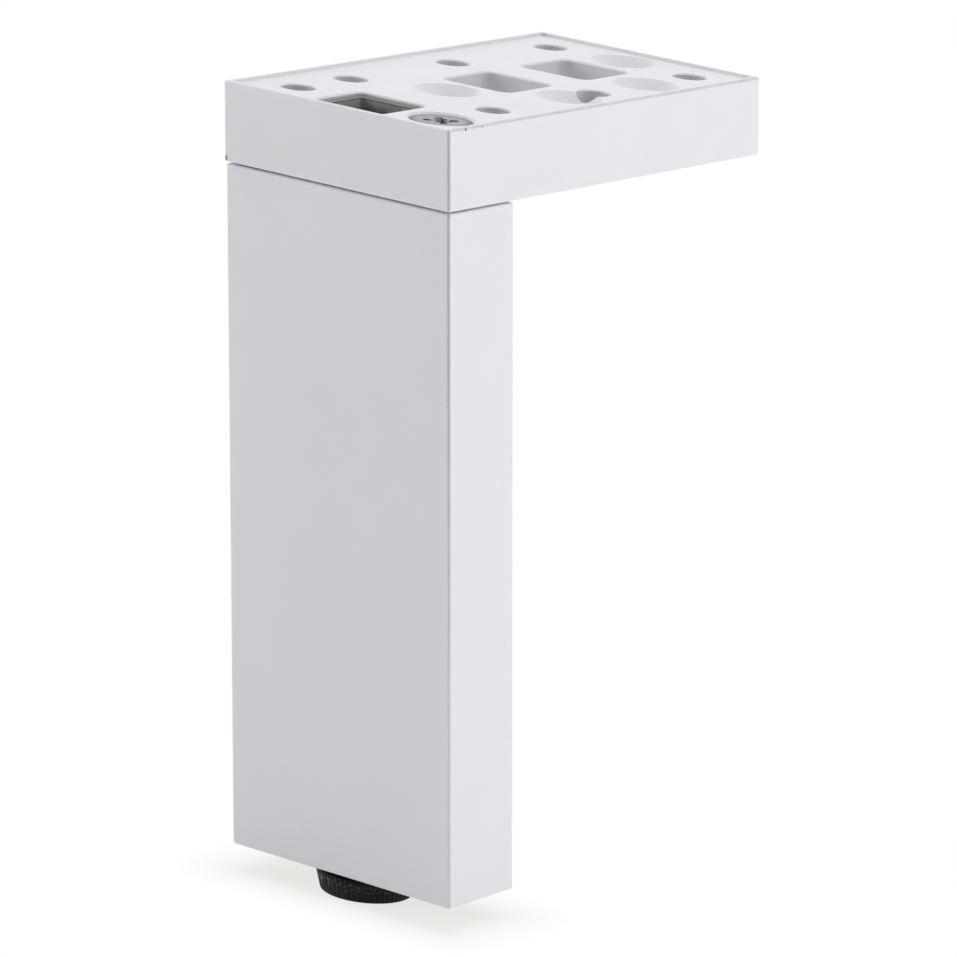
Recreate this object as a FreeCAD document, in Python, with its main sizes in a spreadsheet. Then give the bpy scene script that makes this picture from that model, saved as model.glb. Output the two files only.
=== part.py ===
"""Adjustable cabinet leg: a flat white head bolted on a rectangular tube, with a screw-in foot.

The origin is on the floor, on the tube's axis. +Z is up and +X runs along the head, away from the tube.
All sizes are in millimetres.
"""
import FreeCAD, Part
import math
import os
import Sketcher

# Driving sizes, each of them a cell of the sheet "sizes"
SIZES = {
    # Leg tube, with its wide side across the head
    "tube_depth": 20.0,
    "tube_width": 50.0,
    "tube_wall": 2.0,
    "tube_length": 129.7,
    "tube_edge": 0.5,
    "bore_corner": 0.3,
    # Head block, which stands a little past the tube on its three outer sides
    "head_length": 100.4,
    "head_height": 15.0,
    "head_lip": 0.2,
    "head_edge": 0.5,
    # Underside of the head, cored past the tube to walls, ribs and bosses of moulding thickness
    "head_wall": 2.0,
    "head_roof": 2.4,
    "head_rib": 1.4,
    "boss_wall": 1.6,
    "core_corner": 0.8,
    # Thin rim round the head's top face, with an inside that slopes down to the face
    "rim_width": 1.0,
    "rim_height": 0.6,
    "rim_slope": 0.15,
    "rim_corner": 0.6,
    # Screw holes to the cabinet, on the furniture grid, whose middle lies a little past the head's middle
    "grid_pitch": 32.0,
    "grid_shift": 8.0,
    "panel_hole_diameter": 6.4,
    "panel_hole_edge": 0.25,
    # Square sockets for the tube's key: at the tube, at the head's middle and near its far end
    "socket_size": 15.4,
    "socket_corner": 2.0,
    "socket_edge": 0.3,
    "far_socket_margin": 25.2,
    # Screw that clamps the head on the tube, its holes beside each socket and one near the head's far end
    "screw_offset": 16.0,
    "end_screw_margin": 9.2,
    "screw_diameter": 6.0,
    "screw_length": 25.0,
    "screw_head_diameter": 11.6,
    "screw_head_land": 0.2,
    "screw_sink": 0.3,
    "screw_tip": 0.8,
    "screw_hole_play": 0.3,
    "screw_seat_play": 0.05,
    "thread_play": 0.05,
    "cross_span": 6.4,
    "cross_slot": 1.3,
    "cross_depth": 2.6,
    "cross_core": 3.0,
    # Top plug, with a hollow square key that rises into the head's socket
    "plug_height": 14.0,
    "plug_stand": 0.3,
    "plug_play": 0.1,
    "key_play": 0.1,
    "key_wall": 1.7,
    "key_drop": 0.7,
    "hollow_corner": 0.8,
    # Base plug, which holds the foot's nut
    "base_plug_height": 21.0,
    "base_plug_inset": 0.4,
    "base_plug_wall": 2.5,
    "base_plug_boss": 20.0,
    "base_plug_roof": 4.0,
    "nut_flats": 13.0,
    "nut_height": 6.5,
    "nut_chamfer": 0.9,
    "nut_inset": 0.2,
    "nut_play": 0.1,
    # Foot: a threaded spindle with a black disc moulded on its head, a little off the tube's axis
    "foot_shift": 1.3,
    "spindle_diameter": 8.0,
    "spindle_length": 36.0,
    "spindle_tip": 1.0,
    "spindle_head_diameter": 12.0,
    "spindle_head_height": 1.6,
    "spindle_passage_play": 0.3,
    "disc_diameter": 18.9,
    "disc_height": 4.4,
    "disc_taper": 0.7,
    "disc_floor": 1.1,
    "disc_gap": 0.6,
    "disc_top_edge": 0.4,
    "disc_base_edge": 0.35,
    "disc_fit": 0.06,
    "rib_count": 56,
    "rib_groove_diameter": 0.9,
    "rib_depth": 0.25,
}

# Levels and shared widths that follow from the sizes, each of them a cell of the sheet "places"
PLACES = {
    "tube_base": "=sizes.disc_height + sizes.disc_gap",
    "tube_top": "=tube_base + sizes.tube_length",
    "head_base": "=tube_top + sizes.plug_stand",
    "head_top": "=head_base + sizes.head_height",
    "face_level": "=head_top - sizes.rim_height",
    "head_width": "=sizes.tube_width + 2 * sizes.head_lip",
    "head_middle": "=(sizes.head_length - sizes.tube_depth) / 2 - sizes.head_lip",
    "head_end": "=head_middle + sizes.head_length / 2",
    "grid_middle": "=head_middle + sizes.grid_shift",
    "far_socket": "=head_end - sizes.far_socket_margin",
    "end_screw": "=head_end - sizes.end_screw_margin",
    "underside_start": "=sizes.tube_depth / 2 + sizes.head_wall",
    "underside_end": "=head_end - sizes.head_wall",
    "underside_length": "=underside_end - underside_start",
    "underside_middle": "=(underside_start + underside_end) / 2",
    "underside_width": "=head_width - 2 * sizes.head_wall",
    "underside_depth": "=sizes.head_height - sizes.rim_height - sizes.head_roof",
    "bore_depth": "=sizes.tube_depth - 2 * sizes.tube_wall",
    "bore_width": "=sizes.tube_width - 2 * sizes.tube_wall",
    "plug_depth": "=bore_depth - 2 * sizes.plug_play",
    "plug_width": "=bore_width - 2 * sizes.plug_play",
    "key_size": "=sizes.socket_size - 2 * sizes.key_play",
    "key_top": "=face_level - sizes.key_drop",
    "screw_top": "=face_level - sizes.screw_sink",
    "screw_cone": "=(sizes.screw_head_diameter - sizes.screw_diameter) / 2",
    "countersink": "=sizes.screw_head_diameter"
    " + 2 * (sizes.screw_sink + sizes.screw_head_land + sizes.screw_seat_play)",
    "base_plug_base": "=tube_base + sizes.base_plug_inset",
    "nut_base": "=base_plug_base + sizes.nut_inset",
    "nut_pocket": "=sizes.nut_inset + sizes.nut_height + sizes.nut_play",
    "core_span": "=(plug_width - sizes.base_plug_boss) / 2 - sizes.base_plug_wall",
    "core_middle": "=(sizes.base_plug_boss + core_span) / 2",
    "nut_corner": "=sizes.nut_flats / sqrt(3)",
    "spindle_top": "=sizes.disc_floor + sizes.spindle_length",
}

# Countersinks take the usual flat screw head's full angle
COUNTERSINK_ANGLE = 90.0
# Lengths closer than this count as equal
SAME = 1e-4

doc = FreeCAD.newDocument("cabinet_leg")


def fill_sheet(name, cells):
    """Add a sheet with a named cell for each entry."""
    sheet = doc.addObject("Spreadsheet::Sheet", name)
    for row, (alias, content) in enumerate(cells.items(), start=1):
        sheet.set(f"A{row}", alias)
        sheet.set(f"B{row}", str(content))
        sheet.setAlias(f"B{row}", alias)
    doc.recompute()
    return sheet


fill_sheet("sizes", SIZES)
places = fill_sheet("places", PLACES)


# Sketch and feature helpers


def new_body(label):
    """Add a body whose label names the sub-part."""
    body = doc.addObject("PartDesign::Body", label)
    body.Label = label
    return body


def new_sketch(body, name, level="0", role="XY_Plane"):
    """Add a sketch on one of the body's own planes, raised to a level."""
    sketch = body.newObject("Sketcher::SketchObject", name)
    plane = [feature for feature in body.Origin.OriginFeatures if feature.Role == role][0]
    sketch.AttachmentSupport = [(plane, "")]
    sketch.MapMode = "FlatFace"
    sketch.setExpression("AttachmentOffset.Base.z", level)
    return sketch


def dimension(sketch, kind, elements, guess, size):
    """Add a dimension that starts at a guess and is bound to a size."""
    index = sketch.addConstraint(Sketcher.Constraint(kind, *elements, guess))
    sketch.setExpression(f"Constraints[{index}]", size)


def pin_point(sketch, line, end, guess, x, y):
    """Fix one end of a line, or a centre, at a place measured from the sketch's origin."""
    dimension(sketch, "DistanceX", (-1, 1, line, end), guess[0], x)
    dimension(sketch, "DistanceY", (-1, 1, line, end), guess[1], y)


def draw_loop(sketch, points):
    """Draw a closed loop of straight lines through the given places."""
    count = len(points)
    angles = [2 * math.pi * i / count for i in range(count)]
    guesses = [FreeCAD.Vector(10 + 5 * math.cos(angle), 5 * math.sin(angle), 0) for angle in angles]
    first = sketch.GeometryCount
    for i in range(count):
        sketch.addGeometry(Part.LineSegment(guesses[i], guesses[(i + 1) % count]), False)
    for i in range(count):
        following = first + (i + 1) % count
        sketch.addConstraint(Sketcher.Constraint("Coincident", first + i, 2, following, 1))
    for i, (x, y) in enumerate(points):
        pin_point(sketch, first + i, 1, guesses[i], x, y)


def draw_circle(sketch, x, y, diameter):
    """Draw a circle with its centre at the given place."""
    centre = FreeCAD.Vector(5, 5, 0)
    circle = sketch.addGeometry(Part.Circle(centre, FreeCAD.Vector(0, 0, 1), 1), False)
    pin_point(sketch, circle, 3, centre, x, y)
    dimension(sketch, "Diameter", (circle,), 2, diameter)


def draw_rectangle(sketch, length, width, x="0", y="0"):
    """Draw a rectangle with sharp corners, centred on the given place."""
    signs = [("+", "+"), ("-", "+"), ("-", "-"), ("+", "-")]
    draw_loop(sketch, [(f"{x} {sx} ({length}) / 2", f"{y} {sy} ({width}) / 2") for sx, sy in signs])


def draw_rounded_rectangle(sketch, length, width, corner, x="0", y="0"):
    """Draw a rectangle with round corners, centred on the given place."""
    half_length, half_width, radius = 15, 10, 2
    reach_x, reach_y = half_length - radius, half_width - radius
    normal = FreeCAD.Vector(0, 0, 1)
    signs = [(1, 1), (-1, 1), (-1, -1), (1, -1)]
    first = sketch.GeometryCount
    for quarter, (sx, sy) in enumerate(signs):
        circle = Part.Circle(FreeCAD.Vector(sx * reach_x, sy * reach_y, 0), normal, radius)
        start = quarter * math.pi / 2
        sketch.addGeometry(Part.ArcOfCircle(circle, start, start + math.pi / 2), False)
    ends = [
        ((reach_x, half_width), (-reach_x, half_width)),
        ((-half_length, reach_y), (-half_length, -reach_y)),
        ((-reach_x, -half_width), (reach_x, -half_width)),
        ((half_length, -reach_y), (half_length, reach_y)),
    ]
    for start, end in ends:
        sketch.addGeometry(Part.LineSegment(FreeCAD.Vector(*start, 0), FreeCAD.Vector(*end, 0)), False)
    for quarter in range(4):
        line = first + 4 + quarter
        sketch.addConstraint(Sketcher.Constraint("Coincident", first + quarter, 2, line, 1))
        sketch.addConstraint(Sketcher.Constraint("Coincident", line, 2, first + (quarter + 1) % 4, 1))
    for quarter, (sx, sy) in enumerate(signs):
        arc = first + quarter
        begins, stops = ("Horizontal", "Vertical") if quarter % 2 == 0 else ("Vertical", "Horizontal")
        sketch.addConstraint(Sketcher.Constraint(begins, arc, 3, arc, 1))
        sketch.addConstraint(Sketcher.Constraint(stops, arc, 3, arc, 2))
        dimension(sketch, "Radius", (arc,), radius, corner)
        place_x = f"{x} + {sx} * (({length}) / 2 - ({corner}))"
        place_y = f"{y} + {sy} * (({width}) / 2 - ({corner}))"
        pin_point(sketch, arc, 3, (sx * reach_x, sy * reach_y), place_x, place_y)


def add_pad(body, name, sketch, length):
    """Raise a sketch upwards."""
    pad = body.newObject("PartDesign::Pad", name)
    pad.Profile = sketch
    pad.setExpression("Length", length)
    doc.recompute()
    return pad


def add_pocket(body, name, sketch, depth=None, upwards=False):
    """Cut a sketch to a depth, or right through where no depth is given."""
    pocket = body.newObject("PartDesign::Pocket", name)
    pocket.Profile = sketch
    pocket.Reversed = upwards
    if depth is None:
        pocket.Type = "ThroughAll"
    else:
        pocket.setExpression("Length", depth)
    doc.recompute()
    return pocket


def add_sloped_cut(body, name, upper, lower):
    """Cut straight from an upper sketch to a lower one of the same form."""
    cut = body.newObject("PartDesign::SubtractiveLoft", name)
    cut.Profile = upper
    cut.Sections = [lower]
    cut.Ruled = True
    doc.recompute()
    return cut


def add_turned(body, name, kind, sketch):
    """Turn a sketch of half a section about the upright axis, to add or to cut."""
    turned = body.newObject(f"PartDesign::{kind}", name)
    turned.Profile = sketch
    turned.ReferenceAxis = (sketch, ["V_Axis"])
    turned.Angle = 360
    doc.recompute()
    return turned


def round_all_edges(body, name, base, radius):
    """Round every edge of a plain block."""
    fillet = body.newObject("PartDesign::Fillet", name)
    fillet.Base = (base, [f"Edge{i + 1}" for i in range(len(base.Shape.Edges))])
    fillet.setExpression("Radius", radius)
    doc.recompute()
    return fillet


def break_edges(body, name, base, size, wanted):
    """Chamfer the edges of a feature that a test picks."""
    chamfer = body.newObject("PartDesign::Chamfer", name)
    chamfer.Base = (base, [f"Edge{i}" for i, edge in enumerate(base.Shape.Edges, start=1) if wanted(edge)])
    chamfer.setExpression("Size", size)
    doc.recompute()
    return chamfer


def at_level(edge, level):
    """Tell whether an edge lies flat at a level."""
    box = edge.BoundBox
    return abs(box.ZMin - level) < SAME and abs(box.ZMax - level) < SAME


# Places of the holes along the head, measured from the tube's axis

PANEL_COLUMNS = ["0"] + [f"places.grid_middle + {step} * sizes.grid_pitch" for step in (-1, 0, 1)]
PANEL_ROWS = ["-sizes.grid_pitch / 2", "sizes.grid_pitch / 2"]
# The head screw takes the place of this hole of the grid
SCREW_CORNER = (PANEL_COLUMNS[0], PANEL_ROWS[0])
PANEL_PLACES = [(x, y) for x in PANEL_COLUMNS for y in PANEL_ROWS if (x, y) != SCREW_CORNER]

SOCKET_COLUMNS = ["0", "places.head_middle", "places.far_socket"]
# Screw places for a tube across the head, then for a tube along it
SCREW_PLACES = [(x, "-sizes.screw_offset") for x in SOCKET_COLUMNS]
SCREW_PLACES += [("places.head_middle - sizes.screw_offset", "0"), ("places.end_screw", "0")]


def core_head_underside(body):
    """Core the head from below, past the tube, and leave ribs, bosses and frames round what goes through."""
    core = new_sketch(body, "underside_outline", "places.head_base")
    draw_rounded_rectangle(
        core,
        "places.underside_length",
        "places.underside_width",
        "sizes.core_corner",
        x="places.underside_middle",
    )
    add_pocket(body, "underside_core", core, "places.underside_depth", upwards=True)

    # What is left standing runs a little into the roof and into the walls
    height = "places.underside_depth + sizes.head_roof / 2"
    along = new_sketch(body, "long_rib_outlines", "places.head_base")
    for y in ["0", *PANEL_ROWS]:
        draw_rectangle(
            along,
            "places.underside_length + sizes.head_wall",
            "sizes.head_rib",
            x="places.underside_middle",
            y=y,
        )
    add_pad(body, "long_ribs", along, height)
    across = new_sketch(body, "cross_rib_outlines", "places.head_base")
    for x in PANEL_COLUMNS[2:]:
        draw_rectangle(across, "sizes.head_rib", "places.underside_width + sizes.head_wall", x=x)
    add_pad(body, "cross_ribs", across, height)
    for number, x in enumerate(SOCKET_COLUMNS[1:], start=1):
        frame = new_sketch(body, f"socket_frame_outline_{number}", "places.head_base")
        side = "sizes.socket_size + 2 * sizes.boss_wall"
        draw_rounded_rectangle(frame, side, side, "sizes.socket_corner + sizes.boss_wall", x=x)
        add_pad(body, f"socket_frame_{number}", frame, height)
    panel_bosses = new_sketch(body, "panel_boss_circles", "places.head_base")
    for x, y in PANEL_PLACES[1:]:
        draw_circle(panel_bosses, x, y, "sizes.panel_hole_diameter + 2 * sizes.boss_wall")
    add_pad(body, "panel_bosses", panel_bosses, height)
    screw_bosses = new_sketch(body, "screw_boss_circles", "places.head_base")
    for x, y in SCREW_PLACES[1:]:
        screw_boss = "sizes.screw_diameter + 2 * sizes.screw_hole_play + 2 * sizes.boss_wall"
        draw_circle(screw_bosses, x, y, screw_boss)
    add_pad(body, "screw_bosses", screw_bosses, height)


def build_mounting_head():
    """Moulded block with a thin rim, sockets for the tube's key, screw holes and countersunk holes."""
    body = new_body("mounting_head")
    outline = new_sketch(body, "head_outline", "places.head_base")
    draw_rectangle(outline, "sizes.head_length", "places.head_width", x="places.head_middle")
    block = add_pad(body, "head_block", outline, "sizes.head_height")
    round_all_edges(body, "head_edges", block, "sizes.head_edge")

    rim_outlines = []
    for name, level, inset, corner in (
        ("rim_inside", "places.head_top", "sizes.rim_width", "sizes.rim_corner + sizes.rim_slope"),
        ("rim_foot", "places.face_level", "(sizes.rim_width + sizes.rim_slope)", "sizes.rim_corner"),
    ):
        inside = new_sketch(body, name, level)
        length, width = f"sizes.head_length - 2 * {inset}", f"places.head_width - 2 * {inset}"
        draw_rounded_rectangle(inside, length, width, corner, x="places.head_middle")
        rim_outlines.append(inside)
    add_sloped_cut(body, "rim_recess", *rim_outlines)
    core_head_underside(body)

    sockets = new_sketch(body, "socket_outlines", "places.face_level")
    for x in SOCKET_COLUMNS:
        draw_rounded_rectangle(sockets, "sizes.socket_size", "sizes.socket_size", "sizes.socket_corner", x=x)
    cut_sockets = add_pocket(body, "sockets", sockets)
    half_socket = SIZES["socket_size"] / 2 + SAME

    def at_socket_mouth(edge):
        near_middle = abs(edge.BoundBox.YMin) < half_socket and abs(edge.BoundBox.YMax) < half_socket
        return near_middle and at_level(edge, places.face_level)

    break_edges(body, "socket_mouths", cut_sockets, "sizes.socket_edge", at_socket_mouth)

    holes = new_sketch(body, "panel_hole_circles", "places.face_level")
    for x, y in PANEL_PLACES:
        draw_circle(holes, x, y, "sizes.panel_hole_diameter")
    cut_holes = add_pocket(body, "panel_holes", holes)
    hole_radius = SIZES["panel_hole_diameter"] / 2

    def at_hole_mouth(edge):
        if not at_level(edge, places.face_level):
            return False
        return isinstance(edge.Curve, Part.Circle) and abs(edge.Curve.Radius - hole_radius) < SAME

    break_edges(body, "panel_hole_mouths", cut_holes, "sizes.panel_hole_edge", at_hole_mouth)

    screws = new_sketch(body, "screw_hole_circles", "places.face_level")
    for x, y in SCREW_PLACES:
        draw_circle(screws, x, y, "sizes.screw_diameter")
    doc.recompute()
    hole = body.newObject("PartDesign::Hole", "screw_holes")
    hole.Profile = screws
    doc.recompute()
    hole.DepthType = "ThroughAll"
    hole.setExpression("Diameter", "sizes.screw_diameter + 2 * sizes.screw_hole_play")
    hole.HoleCutType = "Countersink"
    hole.HoleCutCustomValues = True
    hole.HoleCutCountersinkAngle = COUNTERSINK_ANGLE
    hole.setExpression("HoleCutDiameter", "places.countersink")
    doc.recompute()
    return body


def build_leg_tube():
    """Rectangular tube, open at both ends, with its outer edges broken."""
    body = new_body("leg_tube")
    outline = new_sketch(body, "tube_outline", "places.tube_base")
    draw_rectangle(outline, "sizes.tube_depth", "sizes.tube_width")
    bar = add_pad(body, "tube_bar", outline, "sizes.tube_length")
    round_all_edges(body, "tube_edges", bar, "sizes.tube_edge")
    inside = new_sketch(body, "tube_inside", "places.tube_top")
    draw_rounded_rectangle(inside, "places.bore_depth", "places.bore_width", "sizes.bore_corner")
    add_pocket(body, "tube_bore", inside)
    return body


def build_top_plug():
    """Plug in the tube's top with a hollow square key and a threaded hole for the head screw."""
    body = new_body("top_plug")
    outline = new_sketch(body, "plug_outline", "places.head_base - sizes.plug_height")
    draw_rounded_rectangle(outline, "places.plug_depth", "places.plug_width", "sizes.bore_corner")
    add_pad(body, "plug_block", outline, "sizes.plug_height")
    key = new_sketch(body, "key_outline", "places.head_base")
    draw_rounded_rectangle(key, "places.key_size", "places.key_size", "sizes.socket_corner - sizes.key_play")
    add_pad(body, "key", key, "places.key_top - places.head_base")
    hollow = new_sketch(body, "key_hollow_outline", "places.key_top")
    hollow_size = "places.key_size - 2 * sizes.key_wall"
    draw_rounded_rectangle(hollow, hollow_size, hollow_size, "sizes.hollow_corner")
    add_pocket(body, "key_hollow", hollow)
    thread = new_sketch(body, "screw_thread_circle", "places.head_base")
    draw_circle(thread, *SCREW_PLACES[0], "sizes.screw_diameter + 2 * sizes.thread_play")
    add_pocket(body, "screw_thread", thread)
    return body


def build_head_screw():
    """Countersunk screw with a cross recess, standing in its hole beside the tube's socket."""
    body = new_body("head_screw")
    section = new_sketch(body, "screw_section", role="XZ_Plane")
    head, shank = "sizes.screw_head_diameter / 2", "sizes.screw_diameter / 2"
    draw_loop(
        section,
        [
            ("0", "0"),
            (head, "0"),
            (head, "-sizes.screw_head_land"),
            (shank, "-sizes.screw_head_land - places.screw_cone"),
            (shank, "-sizes.screw_length + sizes.screw_tip"),
            (f"{shank} - sizes.screw_tip", "-sizes.screw_length"),
            ("0", "-sizes.screw_length"),
        ],
    )
    add_turned(body, "screw_turned", "Revolution", section)
    cross = new_sketch(body, "cross_outline")
    arm, slot = "sizes.cross_span / 2", "sizes.cross_slot / 2"
    corners = [(arm, slot), (slot, slot), (slot, arm)]
    quarters = [("", "", 1), ("-", "", -1), ("-", "-", 1), ("", "-", -1)]
    points = []
    for sign_x, sign_y, order in quarters:
        points += [(f"{sign_x}{x}", f"{sign_y}{y}") for x, y in corners[::order]]
    draw_loop(cross, points)
    add_pocket(body, "cross_slots", cross, "sizes.cross_depth")
    core = new_sketch(body, "cross_core_section", role="XZ_Plane")
    draw_loop(core, [("0", "0"), ("sizes.cross_core / 2", "0"), ("0", "-sizes.cross_depth")])
    add_turned(body, "cross_core", "Groove", core)
    body.setExpression("Placement.Base.x", SCREW_PLACES[0][0])
    body.setExpression("Placement.Base.y", SCREW_PLACES[0][1])
    body.setExpression("Placement.Base.z", "places.screw_top")
    return body


def stand_on_foot_axis(body):
    """Move a sub-part from the tube's axis to the foot's."""
    body.setExpression("Placement.Base.y", "sizes.foot_shift")


def hexagon(flats_half, corner, y="0"):
    """Places of a hexagon's corners about a place along Y, with two flats facing along X."""
    tall, low = f"({corner})", f"({corner}) / 2"
    side = f"({flats_half})"
    return [
        (side, f"{y} + {low}"),
        ("0", f"{y} + {tall}"),
        (f"-{side}", f"{y} + {low}"),
        (f"-{side}", f"{y} - {low}"),
        ("0", f"{y} - {tall}"),
        (side, f"{y} - {low}"),
    ]


def build_base_plug():
    """Moulded plug in the tube's lower end, cored from above, with a six-sided seat for the nut."""
    body = new_body("base_plug")
    outline = new_sketch(body, "base_plug_outline", "places.base_plug_base")
    draw_rounded_rectangle(outline, "places.plug_depth", "places.plug_width", "sizes.bore_corner")
    add_pad(body, "base_plug_block", outline, "sizes.base_plug_height")
    seat = new_sketch(body, "nut_seat_outline", "places.base_plug_base")
    seat_corner = "places.nut_corner + 2 * sizes.nut_play / sqrt(3)"
    draw_loop(seat, hexagon("sizes.nut_flats / 2 + sizes.nut_play", seat_corner, y="sizes.foot_shift"))
    add_pocket(body, "nut_seat", seat, "places.nut_pocket", upwards=True)
    top = "places.base_plug_base + sizes.base_plug_height"
    passage = new_sketch(body, "spindle_passage_circle", top)
    draw_circle(passage, "0", "sizes.foot_shift", "sizes.spindle_diameter + 2 * sizes.spindle_passage_play")
    add_pocket(body, "spindle_passage", passage)
    cores = new_sketch(body, "core_outlines", top)
    core_depth = "places.plug_depth - 2 * sizes.base_plug_wall"
    for side in ("places.core_middle", "-places.core_middle"):
        draw_rounded_rectangle(cores, core_depth, "places.core_span", "sizes.core_corner", y=side)
    add_pocket(body, "cores", cores, "sizes.base_plug_height - sizes.base_plug_roof")
    return body


def build_foot_nut():
    """Six-sided nut let into the base plug, with its corners turned off at both ends."""
    body = new_body("foot_nut")
    outline = new_sketch(body, "nut_outline", "places.nut_base")
    draw_loop(outline, hexagon("sizes.nut_flats / 2", "places.nut_corner"))
    add_pad(body, "nut_block", outline, "sizes.nut_height")
    bore = new_sketch(body, "nut_bore_circle", "places.nut_base + sizes.nut_height")
    draw_circle(bore, "0", "0", "sizes.spindle_diameter + 2 * sizes.thread_play")
    add_pocket(body, "nut_bore", bore)
    corners = new_sketch(body, "nut_corner_section", role="XZ_Plane")
    tip, flat = "places.nut_corner + sizes.nut_chamfer", "places.nut_corner - sizes.nut_chamfer"
    low, high = "places.nut_base", "places.nut_base + sizes.nut_height"
    rise = "2 * sizes.nut_chamfer / sqrt(3)"
    draw_loop(corners, [(flat, low), (tip, low), (tip, f"{low} + {rise}")])
    draw_loop(corners, [(flat, high), (tip, high), (tip, f"{high} - {rise}")])
    add_turned(body, "nut_corners", "Groove", corners)
    stand_on_foot_axis(body)
    return body


def build_foot_spindle():
    """Threaded stem of the foot, with a flat head at its lower end."""
    body = new_body("foot_spindle")
    section = new_sketch(body, "spindle_section", role="XZ_Plane")
    head, stem = "sizes.spindle_head_diameter / 2", "sizes.spindle_diameter / 2"
    shoulder = "sizes.disc_floor + sizes.spindle_head_height"
    draw_loop(
        section,
        [
            ("0", "sizes.disc_floor"),
            (head, "sizes.disc_floor"),
            (head, shoulder),
            (stem, shoulder),
            (stem, "places.spindle_top - sizes.spindle_tip"),
            (f"{stem} - sizes.spindle_tip", "places.spindle_top"),
            ("0", "places.spindle_top"),
        ],
    )
    add_turned(body, "spindle_turned", "Revolution", section)
    stand_on_foot_axis(body)
    return body


def build_foot_disc():
    """Disc that stands on the floor, moulded round the spindle's head, with a ribbed side."""
    body = new_body("foot_disc")
    section = new_sketch(body, "disc_section", role="XZ_Plane")
    rim, top = "sizes.disc_diameter / 2", "sizes.disc_height"
    draw_loop(
        section,
        [
            ("0", "0"),
            (f"{rim} - sizes.disc_taper - sizes.disc_base_edge", "0"),
            (f"{rim} - sizes.disc_taper", "sizes.disc_base_edge"),
            (rim, f"{top} - sizes.disc_top_edge"),
            (f"{rim} - sizes.disc_top_edge", top),
            ("0", top),
        ],
    )
    add_turned(body, "disc_turned", "Revolution", section)
    groove_place = f"{rim} - sizes.rib_depth + sizes.rib_groove_diameter / 2"
    upper = new_sketch(body, "rib_groove_top", top)
    draw_circle(upper, groove_place, "0", "sizes.rib_groove_diameter")
    lower = new_sketch(body, "rib_groove_base")
    draw_circle(lower, f"{groove_place} - sizes.disc_taper", "0", "sizes.rib_groove_diameter")
    groove = add_sloped_cut(body, "rib_groove", upper, lower)
    ribs = body.newObject("PartDesign::PolarPattern", "ribs")
    ribs.Originals = [groove]
    ribs.Axis = (upper, ["N_Axis"])
    ribs.Angle = 360
    ribs.setExpression("Occurrences", "sizes.rib_count")
    body.Tip = ribs
    doc.recompute()
    seat = new_sketch(body, "spindle_seat_section", role="XZ_Plane")
    head = "sizes.spindle_head_diameter / 2 + sizes.disc_fit"
    stem = "sizes.spindle_diameter / 2 + sizes.disc_fit"
    floor = "sizes.disc_floor - sizes.disc_fit"
    roof = "sizes.disc_floor + sizes.spindle_head_height + sizes.disc_fit"
    draw_loop(
        seat,
        [("0", floor), (head, floor), (head, roof), (stem, roof), (stem, top), ("0", top)],
    )
    add_turned(body, "spindle_seat", "Groove", seat)
    stand_on_foot_axis(body)
    return body


BUILDERS = [
    build_mounting_head,
    build_leg_tube,
    build_top_plug,
    build_head_screw,
    build_base_plug,
    build_foot_nut,
    build_foot_spindle,
    build_foot_disc,
]
CUTTERS = ("PartDesign::Pocket", "PartDesign::Groove", "PartDesign::Hole", "PartDesign::SubtractiveLoft")


def check_document(bodies):
    """Stop if a feature failed, a cut removed nothing or a sub-part is not one sound solid."""
    for item in doc.Objects:
        if "Invalid" in item.State or "Error" in item.State:
            raise RuntimeError(f"{item.Label} did not recompute: {item.State}")
        if item.TypeId in CUTTERS and item.Shape.Volume >= item.BaseFeature.Shape.Volume - SAME:
            raise RuntimeError(f"{item.Label} cuts nothing")
    for body in bodies:
        if body.Shape.isNull() or not body.Shape.isValid() or len(body.Shape.Solids) != 1:
            raise RuntimeError(f"{body.Label} is not one sound solid")


bodies = [build() for build in BUILDERS]
doc.recompute()
check_document(bodies)
os.makedirs("parts", exist_ok=True)
for body in bodies:
    body.Shape.exportStep(f"parts/{body.Label}.step")
    box = body.Shape.optimalBoundingBox(False)
    spans = f"{box.XLength:.2f} x {box.YLength:.2f} x {box.ZLength:.2f}"
    print(f"{body.Label}: {spans} mm, {body.Shape.Volume / 1000:.3f} cm3")
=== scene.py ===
"""Looks of the adjustable cabinet leg: white moulded head and coated tube, zinc-plated screw, black foot."""
import math

import bmesh
import bpy
from mathutils import Matrix, Vector


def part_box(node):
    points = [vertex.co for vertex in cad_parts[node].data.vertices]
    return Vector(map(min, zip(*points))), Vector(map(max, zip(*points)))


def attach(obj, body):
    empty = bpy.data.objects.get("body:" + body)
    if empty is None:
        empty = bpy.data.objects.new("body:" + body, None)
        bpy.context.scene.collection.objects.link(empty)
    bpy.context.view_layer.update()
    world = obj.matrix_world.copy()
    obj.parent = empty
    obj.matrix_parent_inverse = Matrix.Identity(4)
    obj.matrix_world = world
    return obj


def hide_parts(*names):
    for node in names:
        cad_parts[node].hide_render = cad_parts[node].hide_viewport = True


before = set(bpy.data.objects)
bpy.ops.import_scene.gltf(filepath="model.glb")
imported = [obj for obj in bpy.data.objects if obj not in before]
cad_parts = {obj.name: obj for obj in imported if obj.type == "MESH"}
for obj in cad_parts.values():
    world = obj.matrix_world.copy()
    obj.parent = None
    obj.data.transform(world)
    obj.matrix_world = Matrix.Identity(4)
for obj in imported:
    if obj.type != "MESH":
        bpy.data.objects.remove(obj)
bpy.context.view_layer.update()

MM = 0.001

scene = bpy.context.scene
scene.view_settings.view_transform = "Standard"


# Node helpers

# Sockets of a Mix node that mixes colours
MIX_FACTOR, MIX_FIRST, MIX_SECOND, MIX_RESULT = 0, 6, 7, 2
# Most of a noise lies between these values
NOISE_LOW, NOISE_HIGH = 0.35, 0.65


def put(tree, socket, value):
    """Link a socket to another one, or set its value."""
    if isinstance(value, bpy.types.NodeSocket):
        tree.links.new(value, socket)
    else:
        socket.default_value = value


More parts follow.
